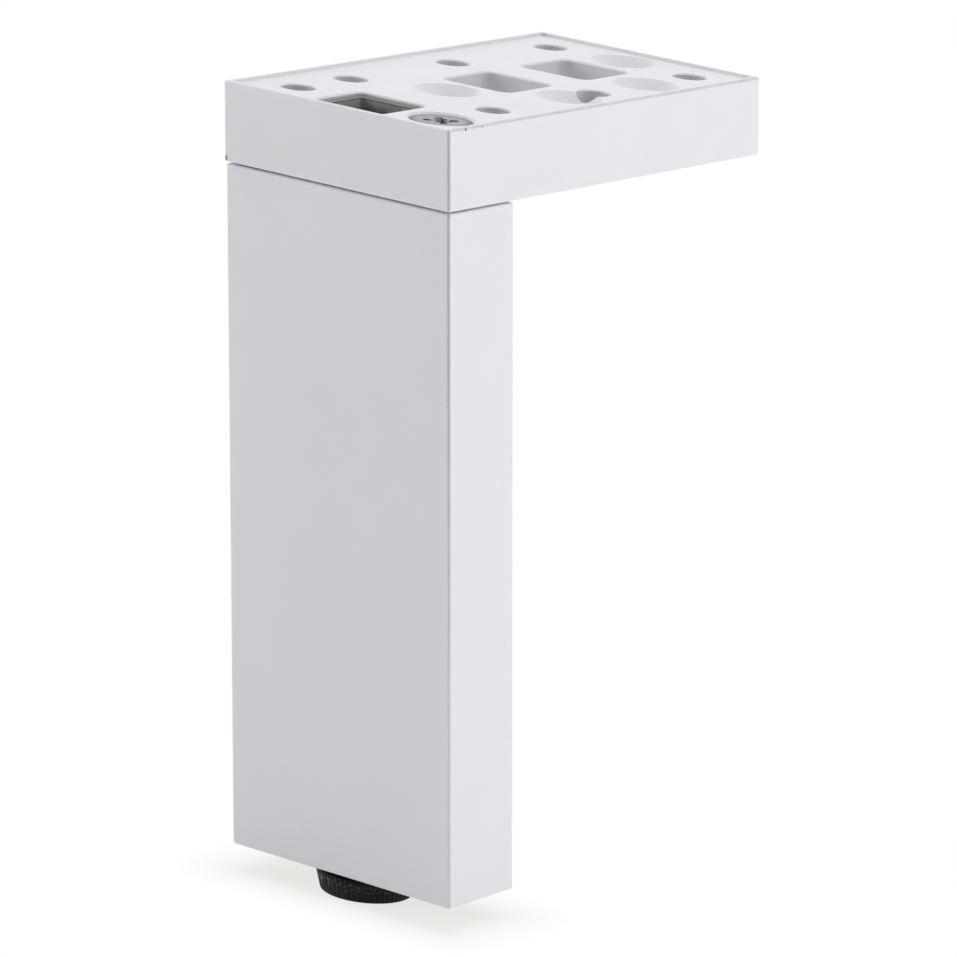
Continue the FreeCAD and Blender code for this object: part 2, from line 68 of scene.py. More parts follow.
def add_node(tree, kind, inputs=None, **settings):
    """Add a shader node, set its options, and set or link its inputs."""
    node = tree.nodes.new(kind)
    for name, value in settings.items():
        setattr(node, name, value)
    for name, value in (inputs or {}).items():
        put(tree, node.inputs[name], value)
    return node


def new_material(name, constants):
    """Make a material, and set what is the same all over it on its shader."""
    material = bpy.data.materials.new(name)
    material.use_nodes = True
    tree = material.node_tree
    shader = tree.nodes["Principled BSDF"]
    for socket, value in constants.items():
        shader.inputs[socket].default_value = value
    return material, tree, shader


def object_place(tree):
    """Places on the object, in metres."""
    return add_node(tree, "ShaderNodeTexCoord").outputs["Object"]


def coordinates(tree, place):
    """The X, Y and Z of each place."""
    return add_node(tree, "ShaderNodeSeparateXYZ", {"Vector": place}).outputs


def noise(tree, place, grain, detail=3.0, stretch=(1.0, 1.0, 1.0)):
    """Noise whose spots are about one grain across, narrower along an axis if wanted."""
    mapped = add_node(tree, "ShaderNodeMapping", {"Vector": place, "Scale": stretch})
    inputs = {"Vector": mapped.outputs["Vector"], "Scale": 1.0 / grain, "Detail": detail}
    return add_node(tree, "ShaderNodeTexNoise", inputs).outputs["Fac"]


def spread(tree, value, low, high, from_low=NOISE_LOW, from_high=NOISE_HIGH):
    """Map a range of a value, or else the middle of a noise, to a range from low to high."""
    inputs = {"Value": value, "From Min": from_low, "From Max": from_high, "To Min": low, "To Max": high}
    return add_node(tree, "ShaderNodeMapRange", inputs).outputs["Result"]


def mix_colours(tree, factor, first, second):
    """Mix two colours by a factor."""
    node = add_node(tree, "ShaderNodeMix", data_type="RGBA")
    put(tree, node.inputs[MIX_FACTOR], factor)
    put(tree, node.inputs[MIX_FIRST], first)
    put(tree, node.inputs[MIX_SECOND], second)
    return node.outputs[MIX_RESULT]


def maths(tree, operation, first, second):
    """One step of arithmetic."""
    return add_node(tree, "ShaderNodeMath", {0: first, 1: second}, operation=operation).outputs["Value"]


def vector_maths(tree, operation, inputs, result="Vector"):
    """One step of arithmetic with vectors."""
    return add_node(tree, "ShaderNodeVectorMath", inputs, operation=operation).outputs[result]


def bump(tree, shader, height, distance, strength=1.0):
    """Raise fine relief on a shader from a height."""
    inputs = {"Height": height, "Distance": distance, "Strength": strength}
    put(tree, shader.inputs["Normal"], add_node(tree, "ShaderNodeBump", inputs).outputs["Normal"])


def colour(red, green, blue, share=1.0):
    """A colour with its alpha, made darker or lighter by a share."""
    return (red * share, green * share, blue * share, 1.0)


def distance_from(tree, place, centre):
    """Distance of each place from a centre."""
    return vector_maths(tree, "DISTANCE", {0: place, 1: centre}, "Value")


def node_axis(node):
    """Place of an upright node's axis, and its lowest and highest levels."""
    low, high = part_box(node)
    return (low[0] + high[0]) / 2, (low[1] + high[1]) / 2, low[2], high[2]


def node_reach(node):
    """Half of a node's width along X."""
    low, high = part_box(node)
    return (high[0] - low[0]) / 2


# White coat

WHITE = (0.832, 0.83, 0.868)
MOTTLE_SHARE = 0.985
MOTTLE_GRAIN = 22 * MM
GLOSS_GRAIN = 9 * MM
GLOSS_RANGE = 0.03
PEEL_STRENGTH = 0.5
HEAD_PEEL_GRAIN, HEAD_PEEL_HEIGHT, HEAD_ROUGHNESS = 0.9 * MM, 0.006 * MM, 0.40
TUBE_PEEL_GRAIN, TUBE_PEEL_HEIGHT, TUBE_ROUGHNESS = 1.4 * MM, 0.008 * MM, 0.38

# Small dark marks
BLEMISH = (0.07, 0.065, 0.06)
HEAD_MARKS = [
    {"centre": (-5.1 * MM, -25.1 * MM, 149.63 * MM), "radius": 0.34 * MM, "strength": 1.0},
    {"centre": (-0.1 * MM, -25.1 * MM, 149.63 * MM), "radius": 0.22 * MM, "strength": 1.0},
    {"centre": (-10.0 * MM, 25.1 * MM, 135.7 * MM), "radius": 0.75 * MM, "strength": 1.0},
    {"centre": (25.9 * MM, 3.6 * MM, 148.5 * MM), "radius": 0.24 * MM, "strength": 1.0},
]
TUBE_MARKS = [
    {"centre": (-10.0 * MM, -24.2 * MM, 100.6 * MM), "radius": 0.4 * MM, "strength": 0.12},
]
# Share of a mark's radius inside which it has its full strength
MARK_CORE = 0.6


def spot(tree, place, centre, radius, strength):
    """A strength inside a small round spot of the surface and zero outside, with a soft edge."""
    away = distance_from(tree, place, centre)
    return spread(tree, away, strength, 0.0, MARK_CORE * radius, radius)


# Painted shade on the head's countersink round the screw's head, where the gap between them is shaded
SEAT_PAINTED_SHADE = (0.30, 0.30, 0.31)
SEAT_REACH = 6.6 * MM
SEAT_FADE = 0.2 * MM
SEAT_DEEP, SEAT_SHALLOW = 0.2 * MM, 0.06 * MM


def painted_seat_shade(tree, place):
    """One where shade is painted on the head's countersink round the screw, below the screw's top, and zero
    elsewhere.
    """
    x, y, _, top = node_axis("head_screw")
    level = coordinates(tree, place)["Z"]
    deep = spread(tree, level, 1.0, 0.0, top - SEAT_DEEP, top - SEAT_SHALLOW)
    away = distance_from(tree, place, (x, y, top))
    near = spread(tree, away, 1.0, 0.0, SEAT_REACH, SEAT_REACH + SEAT_FADE)
    return maths(tree, "MULTIPLY", deep, near)


# Grey painted on the rim's sharp edge along one side of the head
RIM_EDGE_GREY = (0.585, 0.585, 0.612)
RIM_WIDTH = 0.45 * MM
RIM_WIDTH_FADE = 0.1 * MM
RIM_BAND = 0.42 * MM
RIM_BAND_FADE = 0.06 * MM
RIM_START, RIM_FULL = 0.3 * MM, 1.2 * MM
RIM_GRAIN = 3 * MM
RIM_LEAST = 0.7


def grey_rim_edge(tree, place):
    """Share of grey on the rim along the head's -Y side, uneven along it, and zero elsewhere."""
    low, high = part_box("mounting_head")
    parts = coordinates(tree, place)
    band = high[2] - RIM_BAND
    edge = spread(tree, parts["Z"], 0.0, 1.0, band - RIM_BAND_FADE, band + RIM_BAND_FADE)
    width = low[1] + RIM_WIDTH
    side = spread(tree, parts["Y"], 1.0, 0.0, width, width + RIM_WIDTH_FADE)
    along = spread(tree, parts["X"], 0.0, 1.0, low[0] + RIM_START, low[0] + RIM_FULL)
    uneven = spread(tree, noise(tree, place, RIM_GRAIN), RIM_LEAST, 1.0)
    where = maths(tree, "MULTIPLY", edge, side)
    amount = maths(tree, "MULTIPLY", along, uneven)
    return maths(tree, "MULTIPLY", where, amount)


# Painted shade along the upright edge between the -X and -Y sides, fading out towards the floor
EDGE_PAINTED_SHADE = (0.60, 0.60, 0.63)
EDGE_INSET = 0.15 * MM
EDGE_CORE, EDGE_REACH = 0.2 * MM, 0.4 * MM
EDGE_LOW, EDGE_HIGH = 25 * MM, 105 * MM
LEVEL_ONLY = (1, 1, 0)


def painted_edge_shade(tree, place, node):
    """Share of painted shade along one upright edge of a node, and zero elsewhere."""
    corner_x, corner_y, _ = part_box(node)[0]
    flat = vector_maths(tree, "MULTIPLY", {0: place, 1: LEVEL_ONLY})
    away = distance_from(tree, flat, (corner_x + EDGE_INSET, corner_y + EDGE_INSET, 0.0))
    near = spread(tree, away, 1.0, 0.0, EDGE_CORE, EDGE_REACH)
    upper = spread(tree, coordinates(tree, place)["Z"], 0.0, 1.0, EDGE_LOW, EDGE_HIGH)
    return maths(tree, "MULTIPLY", near, upper)


def coated_white(name, node, peel_grain, peel_height, roughness, marks):
    """White coat with slow mottling, uneven gloss, fine waves in its skin, a few small marks, painted shade
    round the screw's seat and along one upright edge, and a grey line on the rim's edge.
    """
    material, tree, shader = new_material(name, {"IOR": 1.5, "Specular IOR Level": 0.5})
    place = object_place(tree)
    mottle = spread(tree, noise(tree, place, MOTTLE_GRAIN, detail=4.0), 0.0, 1.0)
    coat = mix_colours(tree, mottle, colour(*WHITE, MOTTLE_SHARE), colour(*WHITE))
    # Painted shade on the countersink round the screw
    coat = mix_colours(tree, painted_seat_shade(tree, place), coat, colour(*SEAT_PAINTED_SHADE))
    coat = mix_colours(tree, grey_rim_edge(tree, place), coat, colour(*RIM_EDGE_GREY))
    coat = mix_colours(tree, painted_edge_shade(tree, place, node), coat, colour(*EDGE_PAINTED_SHADE))
    for mark in marks:
        coat = mix_colours(tree, spot(tree, place, **mark), coat, colour(*BLEMISH))
    put(tree, shader.inputs["Base Color"], coat)
    gloss = noise(tree, place, GLOSS_GRAIN)
    uneven = spread(tree, gloss, roughness - GLOSS_RANGE, roughness + GLOSS_RANGE)
    put(tree, shader.inputs["Roughness"], uneven)
    bump(tree, shader, noise(tree, place, peel_grain, detail=2.0), peel_height, PEEL_STRENGTH)
    return material


# Bare casting

CAST_DARK = (0.36, 0.355, 0.36)
CAST_PALE = (0.54, 0.535, 0.545)
CAST_METALLIC = 0.3
CAST_SMOOTHEST, CAST_ROUGHEST = 0.48, 0.62
CAST_PATCH = 3 * MM
CAST_GRAIN, CAST_RELIEF = 0.5 * MM, 0.06 * MM
# Darker tone on the key's upper end, and painted shade down in its bore, between depths below its top
CAST_UPPER_DARK = (0.17, 0.17, 0.175)
UPPER_DARK_DEEP, UPPER_DARK_SHALLOW = 0.3 * MM, 0.1 * MM
CAST_PAINTED_SHADE = (0.03, 0.03, 0.03)
BORE_SHADE_DEEP, BORE_SHADE_SHALLOW = 3.2 * MM, 1.5 * MM


def cast_grey():
    """Bare die casting: dull grey with a rough skin, darker at its upper end, with painted shade lower down
    its bore.
    """
    material, tree, shader = new_material("cast_grey_look", {"Metallic": CAST_METALLIC})
    place = object_place(tree)
    patches = noise(tree, place, CAST_PATCH, detail=5.0)
    skin = mix_colours(tree, spread(tree, patches, 0.0, 1.0), colour(*CAST_DARK), colour(*CAST_PALE))
    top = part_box("top_plug")[1][2]
    level = coordinates(tree, place)["Z"]
    upper_dark = spread(tree, level, 0.0, 1.0, top - UPPER_DARK_DEEP, top - UPPER_DARK_SHALLOW)
    skin = mix_colours(tree, upper_dark, skin, colour(*CAST_UPPER_DARK))
    # Painted shade down in the bore
    bore_shade = spread(tree, level, 1.0, 0.0, top - BORE_SHADE_DEEP, top - BORE_SHADE_SHALLOW)
    put(tree, shader.inputs["Base Color"], mix_colours(tree, bore_shade, skin, colour(*CAST_PAINTED_SHADE)))
    put(tree, shader.inputs["Roughness"], spread(tree, patches, CAST_SMOOTHEST, CAST_ROUGHEST))
    bump(tree, shader, noise(tree, place, CAST_GRAIN, detail=4.0), CAST_RELIEF)
    return material


# Zinc plating

ZINC_DULL = (0.222, 0.243, 0.253)
ZINC_BRIGHT = (0.30, 0.322, 0.332)
ZINC_SMOOTHEST, ZINC_ROUGHEST = 0.26, 0.40
ZINC_BLOOM = 1.6 * MM
ZINC_GRAIN, ZINC_RELIEF = 0.25 * MM, 0.012 * MM
# Painted shade in a screw's recess, between depths below its top, and on its brim, between insets from its
# edge
RECESS_PAINTED_SHADE = (0.04, 0.045, 0.05)
RECESS_DEEP, RECESS_SHALLOW = 1.5 * MM, 0.3 * MM
BRIM_PAINTED_SHADE = (0.11, 0.118, 0.125)
BRIM_INNER, BRIM_OUTER = 1.5 * MM, 0.7 * MM


def zinc_plate(name, shaded_screw=None):
    """Zinc plating with a cool bloom. On a screw, if one is named, painted shade darkens its recess and its
    brim.
    """
    material, tree, shader = new_material(name, {"Metallic": 1.0})
    place = object_place(tree)
    bloom = noise(tree, place, ZINC_BLOOM, detail=5.0)
    plate = mix_colours(tree, spread(tree, bloom, 0.0, 1.0), colour(*ZINC_DULL), colour(*ZINC_BRIGHT))
    if shaded_screw:
        x, y, _, top = node_axis(shaded_screw)
        level = coordinates(tree, place)["Z"]
        # Painted shade in the recess and, below, on the brim
        deep = spread(tree, level, 1.0, 0.0, top - RECESS_DEEP, top - RECESS_SHALLOW)
        plate = mix_colours(tree, deep, plate, colour(*RECESS_PAINTED_SHADE))
        edge = node_reach(shaded_screw)
        away = distance_from(tree, place, (x, y, top))
        outer = spread(tree, away, 0.0, 1.0, edge - BRIM_INNER, edge - BRIM_OUTER)
        plate = mix_colours(tree, outer, plate, colour(*BRIM_PAINTED_SHADE))
    put(tree, shader.inputs["Base Color"], plate)
    put(tree, shader.inputs["Roughness"], spread(tree, bloom, ZINC_SMOOTHEST, ZINC_ROUGHEST))
    bump(tree, shader, noise(tree, place, ZINC_GRAIN), ZINC_RELIEF)
    return material


# Black plastic

BLACK = (0.006, 0.006, 0.0065)
BLACK_DUSTY = (0.014, 0.014, 0.0145)
BLACK_SPECULAR = 0.13
BLACK_SMOOTHEST, BLACK_ROUGHEST = 0.36, 0.52
DUST_GRAIN = 2.2 * MM
BLACK_GRAIN, BLACK_RELIEF = 0.22 * MM, 0.02 * MM
# Scuffs, with a painted highlight that makes them strongest above these levels and towards +Y
SCUFF_AND_HIGHLIGHT = (0.26, 0.263, 0.27)
SCUFF_GRAIN = 1.1 * MM
SCUFF_STRETCH = (1.0, 1.0, 2.2)
SCUFF_START, SCUFF_FULL = 0.50, 0.72
SCUFF_LOW, SCUFF_HIGH, SCUFF_LEAST_BELOW = 1.6 * MM, 2.8 * MM, 0.15
SCUFF_NEAR, SCUFF_FAR, SCUFF_LEAST_NEAR = -1.0 * MM, 6.0 * MM, 0.4
# Painted shade on the foot disc's upper edge under the tube, laid over its scuffs and dust
BLACK_PAINTED_SHADE = (0.001, 0.001, 0.001)
SHADE_BAND_LOW, SHADE_BAND_HIGH = 1.0 * MM, 0.6 * MM


def moulded_black(name, scuffed_and_shaded=None):
    """Black plastic with a fine eroded grain and a little dust; on a disc, if one is named, scuffs with a
    painted highlight and painted shade along its upper edge.
    """
    material, tree, shader = new_material(name, {"IOR": 1.5, "Specular IOR Level": BLACK_SPECULAR})
    place = object_place(tree)
    dust = noise(tree, place, DUST_GRAIN, detail=5.0)
    skin = mix_colours(tree, spread(tree, dust, 0.0, 1.0), colour(*BLACK), colour(*BLACK_DUSTY))
    if scuffed_and_shaded:
        # Scuffs with a painted highlight on the disc's upper +Y side
        scuffs = noise(tree, place, SCUFF_GRAIN, detail=6.0, stretch=SCUFF_STRETCH)
        parts = coordinates(tree, place)
        upper = spread(tree, parts["Z"], SCUFF_LEAST_BELOW, 1.0, SCUFF_LOW, SCUFF_HIGH)
        one_side = spread(tree, parts["Y"], SCUFF_LEAST_NEAR, 1.0, SCUFF_NEAR, SCUFF_FAR)
        highlight_side = maths(tree, "MULTIPLY", upper, one_side)
        scuffs_and_highlight = maths(tree, "MULTIPLY", highlight_side, spread(tree, scuffs, 0.0, 1.0, SCUFF_START, SCUFF_FULL))
        skin = mix_colours(tree, scuffs_and_highlight, skin, colour(*SCUFF_AND_HIGHLIGHT))
        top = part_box(scuffed_and_shaded)[1][2]
        # Painted shade along the disc's upper edge, under the tube
        under_tube_shade = spread(tree, parts["Z"], 0.0, 1.0, top - SHADE_BAND_LOW, top - SHADE_BAND_HIGH)
        skin = mix_colours(tree, under_tube_shade, skin, colour(*BLACK_PAINTED_SHADE))
    put(tree, shader.inputs["Base Color"], skin)
    put(tree, shader.inputs["Roughness"], spread(tree, dust, BLACK_SMOOTHEST, BLACK_ROUGHEST))
    bump(tree, shader, noise(tree, place, BLACK_GRAIN), BLACK_RELIEF)
    return material


# Materials on the CAD nodes

def dress(node, material):
    """Give a CAD node a material in all its slots."""
    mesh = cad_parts[node].data
    if not mesh.materials:
        mesh.materials.append(material)
    for index in range(len(mesh.materials)):
        mesh.materials[index] = material


head_white = coated_white(
    "head_white_look", "mounting_head", HEAD_PEEL_GRAIN, HEAD_PEEL_HEIGHT, HEAD_ROUGHNESS, HEAD_MARKS
)
tube_white = coated_white(
    "tube_white_look", "leg_tube", TUBE_PEEL_GRAIN, TUBE_PEEL_HEIGHT, TUBE_ROUGHNESS, TUBE_MARKS
)
cast = cast_grey()
zinc = zinc_plate("zinc_steel_look")
zinc_screw = zinc_plate("zinc_screw_look", "head_screw")
black = moulded_black("black_plastic_look")
black_disc = moulded_black("black_disc_look", "foot_disc")
dress("mounting_head", head_white)
dress("leg_tube", tube_white)
dress("top_plug", cast)
dress("foot_nut", zinc)
dress("base_plug", black)


# Pieces with rounder and finer shapes than their CAD nodes

SMOOTH_ANGLE = math.radians(40)


def ring(shape, points):
    """Add a closed row of points to a mesh."""
    return [shape.verts.new(point) for point in points]


def join_rings(shape, first, second):
    """Add the faces between two rows of as many points."""
    count = len(first)
    for index in range(count):
        after = (index + 1) % count
        shape.faces.new((first[index], first[after], second[after], second[index]))


def close_ring(shape, row, centre):
    """Close a row of points with a fan of faces to a centre."""
    tip = shape.verts.new(centre)
    for index, point in enumerate(row):
        shape.faces.new((point, row[(index + 1) % len(row)], tip))


def skin_rings(shape, rows, axis_x, axis_y, first_level, last_level):
    """Join rows of points into a closed skin whose ends meet the axis at two levels."""
    for first, second in zip(rows, rows[1:]):
        join_rings(shape, first, second)
    close_ring(shape, rows[0], (axis_x, axis_y, first_level))
    close_ring(shape, rows[-1], (axis_x, axis_y, last_level))


def turned(shape, axis_x, axis_y, profile, sides, radius_at=None):
    """Turn a profile of (radius, level) points that starts and ends on the axis into a closed skin."""
    rows = []
    for radius, level in profile[1:-1]:
        points = []
        for side in range(sides):
            angle = math.tau * side / sides
            reach = radius_at(radius, level, angle) if radius_at else radius
            points.append((axis_x + reach * math.cos(angle), axis_y + reach * math.sin(angle), level))
        rows.append(ring(shape, points))
    skin_rings(shape, rows, axis_x, axis_y, profile[0][1], profile[-1][1])


def arc(centre, radius, start, end, steps):
    """Points of an arc in a profile, with its angles in degrees."""
    points = []
    for step in range(steps + 1):
        angle = math.radians(start + (end - start) * step / steps)
        points.append((centre[0] + radius * math.cos(angle), centre[1] + radius * math.sin(angle)))
    return points


THREAD_SIDES = 48
# Rows of points for each turn of a thread
THREAD_STEPS = 10
# Depth of a thread as a share of its pitch
THREAD_DEPTH = 0.61
# Slope of a thread's flanks, and the share that its flat crest takes off them
FLANK_SLOPE, FLANK_CREST = 1.3, 0.15


def threaded(shape, axis_x, axis_y, radius, pitch, low, high, lead):
    """Right-hand thread between two levels, tapered at its ends by a lead-in."""
    depth = THREAD_DEPTH * pitch
    count = round((high - low) / pitch * THREAD_STEPS)
    rows = []
    for row in range(count + 1):
        level = low + (high - low) * row / count
        most = radius - max(0.0, lead - (high - level), lead - (level - low))
        points = []
        for side in range(THREAD_SIDES):
            phase = ((level - low) / pitch - side / THREAD_SIDES) % 1.0
            flank = min(1.0, max(0.0, FLANK_SLOPE * abs(2 * phase - 1) - FLANK_CREST))
            reach = min(most, radius - depth * flank)
            angle = math.tau * side / THREAD_SIDES
            points.append((axis_x + reach * math.cos(angle), axis_y + reach * math.sin(angle), level))
        rows.append(ring(shape, points))
    skin_rings(shape, rows, axis_x, axis_y, low, high)


def finish_mesh(name, shape, material):
    """Make an object from a shape, smooth between its sharp edges."""
    bmesh.ops.recalc_face_normals(shape, faces=shape.faces)
    mesh = bpy.data.meshes.new(name)
    shape.to_mesh(mesh)
    shape.free()
    mesh.shade_smooth()
    mesh.set_sharp_from_angle(angle=SMOOTH_ANGLE)
    mesh.materials.append(material)
    piece = bpy.data.objects.new(name, mesh)
    scene.collection.objects.link(piece)
    return piece


def stand_for(piece, node, body):
    """Let a piece take a CAD node's place."""
    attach(piece, body)
    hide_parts(node)


# Head screw
SCREW_SHANK = 3.0 * MM
SCREW_PITCH = 1.0 * MM
SCREW_TIP = 0.8 * MM
SCREW_EDGE = 0.34 * MM
SCREW_LAND = 0.2 * MM
SCREW_CONE_DEGREES = 45
SCREW_EDGE_STEPS = 8
SCREW_SIDES = 96
CROSS_SPAN = 6.4 * MM
CROSS_SLOT = 1.35 * MM
CROSS_DEPTH = 2.6 * MM
CROSS_TURN = math.radians(46)
# Share of a slot's span that is left at its bottom, and how far its width follows that taper
CROSS_BOTTOM = 0.45
CROSS_SLOT_TAPER = 0.4
# How far the cutter of a slot stands above the screw
CROSS_ABOVE = 0.5 * MM
# Cone in the middle of the recess: its width, the radius of its tip, and its depth below the slots
CROSS_CORE = 4.0 * MM
CORE_TIP = 0.3 * MM
CORE_EXTRA = 0.3 * MM
# How much wider the cone's cutter is above the screw
CORE_FLARE = 1.1
CORE_SIDES = 32


def tapered_wing(x, y, top, turn):
    """Cutter for one slot of a cross recess, narrower at its bottom."""
    shape = bmesh.new()
    rows = []
    for level, share in ((top + CROSS_ABOVE, 1.0), (top, 1.0), (top - CROSS_DEPTH, CROSS_BOTTOM)):
        span = CROSS_SPAN / 2 * share
        slot = CROSS_SLOT / 2 * (1 - CROSS_SLOT_TAPER + CROSS_SLOT_TAPER * share)
        corners = [(span, slot), (-span, slot), (-span, -slot), (span, -slot)]
        rows.append(ring(shape, [(across, along, level) for across, along in corners]))
    join_rings(shape, rows[0], rows[1])
    join_rings(shape, rows[1], rows[2])
    shape.faces.new(rows[0])
    shape.faces.new(rows[2])
    bmesh.ops.rotate(shape, verts=shape.verts, matrix=Matrix.Rotation(turn, 3, "Z"))
    bmesh.ops.translate(shape, verts=shape.verts, vec=(x, y, 0))
    return shape


def cross_core(x, y, top):
    """Cutter for the cone in the middle of a cross recess."""
    shape = bmesh.new()
    radius = CROSS_CORE / 2
    low = top - CROSS_DEPTH - CORE_EXTRA
    profile = [(0, top + radius), (radius * CORE_FLARE, top + radius), (radius, top)]
    profile += [(CORE_TIP, low), (0, low)]
    turned(shape, x, y, profile, CORE_SIDES)
    return shape


def cut_out(piece, shapes):
    """Cut shapes out of a piece."""
    cutters = []
    for shape in shapes:
        cutter = finish_mesh("cutter", shape, zinc_screw)
        modifier = piece.modifiers.new("cut", "BOOLEAN")
        modifier.operation = "DIFFERENCE"
        modifier.solver = "EXACT"
        modifier.object = cutter
        cutters.append(cutter)
    shown = piece.evaluated_get(bpy.context.evaluated_depsgraph_get())
    cut = bpy.data.meshes.new_from_object(shown)
    piece.modifiers.clear()
    piece.data = cut
    cut.shade_smooth()
    cut.set_sharp_from_angle(angle=SMOOTH_ANGLE)
    for cutter in cutters:
        bpy.data.objects.remove(cutter)


def add_head_screw():
    """Countersunk screw with a rolled edge, a tapered cross recess and a thread."""
    x, y, low, top = node_axis("head_screw")
    corner = node_reach("head_screw") + SCREW_LAND
    run = SCREW_EDGE / math.tan(math.radians(SCREW_CONE_DEGREES / 2))
    cone_end = top - (corner - SCREW_SHANK)
    thread_top = cone_end - SCREW_PITCH
    edge_centre = (corner - run, top - SCREW_EDGE)
    head = [(0, top)]
    head += arc(edge_centre, SCREW_EDGE, 90, -SCREW_CONE_DEGREES, SCREW_EDGE_STEPS)
    head += [(SCREW_SHANK, cone_end), (SCREW_SHANK, thread_top), (0, thread_top)]
    shape = bmesh.new()
    turned(shape, x, y, head, SCREW_SIDES)
    piece = finish_mesh("head_screw_fine", shape, zinc_screw)
    wings = [tapered_wing(x, y, top, CROSS_TURN + quarter) for quarter in (0, math.pi / 2)]
    cut_out(piece, wings + [cross_core(x, y, top)])
    stand_for(piece, "head_screw", "leg")
    shape = bmesh.new()
    threaded(shape, x, y, SCREW_SHANK, SCREW_PITCH, low, thread_top, SCREW_TIP)
    thread = finish_mesh("head_screw_thread", shape, zinc)
    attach(thread, "leg")


# Foot spindle
SPINDLE_PITCH = 1.25 * MM
SPINDLE_STEM = 4.0 * MM
SPINDLE_HEAD = 1.6 * MM
SPINDLE_TIP = 1.0 * MM
SPINDLE_SIDES = 64


def add_foot_spindle():
    """Stem with a real right-hand thread above its flat head."""
    x, y, low, high = node_axis("foot_spindle")
    reach = node_reach("foot_spindle")
    shape = bmesh.new()
    flat_head = [(0, low), (reach, low), (reach, low + SPINDLE_HEAD), (0, low + SPINDLE_HEAD)]
    turned(shape, x, y, flat_head, SPINDLE_SIDES)
    threaded(shape, x, y, SPINDLE_STEM, SPINDLE_PITCH, low + SPINDLE_HEAD, high, SPINDLE_TIP)
    stand_for(finish_mesh("foot_spindle_thread", shape, zinc), "foot_spindle", "spindle")


# Foot disc
DISC_TAPER = 0.7 * MM
DISC_BASE_EDGE = 0.5 * MM
DISC_TOP_EDGE = 0.45 * MM
DISC_EDGE_STEPS = 6
DISC_FIT = 0.06 * MM
DISC_FLOOR = 1.1 * MM
RIB_COUNT = 56
RIB_DEPTH = 0.14 * MM
# Points round the disc for each rib
RIB_SIDES = 8
# Share of the rounded edges that the ribs leave plain
RIB_INSET = 0.3


def add_foot_disc():
    """Black disc with rounded ribs round its side and a seat for the spindle's head."""
    x, y, low, high = node_axis("foot_disc")
    rim = node_reach("foot_disc")
    head_reach = node_reach("foot_spindle") + DISC_FIT
    stem_reach = SPINDLE_STEM + DISC_FIT
    seat_low = low + DISC_FLOOR - DISC_FIT
    seat_high = low + DISC_FLOOR + SPINDLE_HEAD + DISC_FIT
    base = rim - DISC_TAPER
    base_centre = (base - DISC_BASE_EDGE, low + DISC_BASE_EDGE)
    top_centre = (rim - DISC_TOP_EDGE, high - DISC_TOP_EDGE)
    profile = [(0, low)]
    profile += arc(base_centre, DISC_BASE_EDGE, -90, 0, DISC_EDGE_STEPS)
    profile += arc(top_centre, DISC_TOP_EDGE, 0, 90, DISC_EDGE_STEPS)
    profile += [(stem_reach, high), (stem_reach, seat_high), (head_reach, seat_high)]
    profile += [(head_reach, seat_low), (0, seat_low)]
    wall_low = low + RIB_INSET * DISC_BASE_EDGE
    wall_high = high - RIB_INSET * DISC_TOP_EDGE
    wall_reach = base - RIB_INSET * DISC_BASE_EDGE

    def ribbed(radius, level, angle):
        """Radius at an angle, drawn in between the ribs where the side is."""
        if radius < wall_reach or not wall_low < level < wall_high:
            return radius
        return radius - RIB_DEPTH * (0.5 - 0.5 * math.cos(RIB_COUNT * angle))

    shape = bmesh.new()
    turned(shape, x, y, profile, RIB_SIDES * RIB_COUNT, ribbed)
    stand_for(finish_mesh("foot_disc_ribbed", shape, black_disc), "foot_disc", "disc")


add_head_screw()
add_foot_spindle()
add_foot_disc()


# Stage: floor, light and camera

PURE_WHITE = (1.0, 1.0, 1.0)
FLOOR_SIZE = 8.0
FLOOR_PAPER = (0.955, 0.955, 0.95)
# Painted warm shadow tint on the floor close to the tube
FLOOR_SHADOW_TINT = (1.0, 0.993, 0.97)
# Share of the floor's white that shadows don't reach: under the tube, and from some way off it
GLOW_NEAR, GLOW_FAR = 0.76, 0.995
GLOW_REACH = 11 * MM


def seen_rays(tree):
    """One for rays that show a background: to the camera, in a reflection or through glass."""
    path = add_node(tree, "ShaderNodeLightPath")
    seen = maths(tree, "MAXIMUM", path.outputs["Is Camera Ray"], path.outputs["Is Glossy Ray"])
    return maths(tree, "MAXIMUM", seen, path.outputs["Is Transmission Ray"])


def distance_outside(tree, place, low, high):
    """Level distance of each place from an upright box round the origin, zero inside it."""
    half = ((high[0] - low[0]) / 2, (high[1] - low[1]) / 2, 0.0)
    step = vector_maths(tree, "ABSOLUTE", {0: place})
    step = vector_maths(tree, "SUBTRACT", {0: step, 1: half})
    step = vector_maths(tree, "MAXIMUM", {0: step, 1: (0, 0, 0)})
    return vector_maths(tree, "LENGTH", {0: step}, "Value")


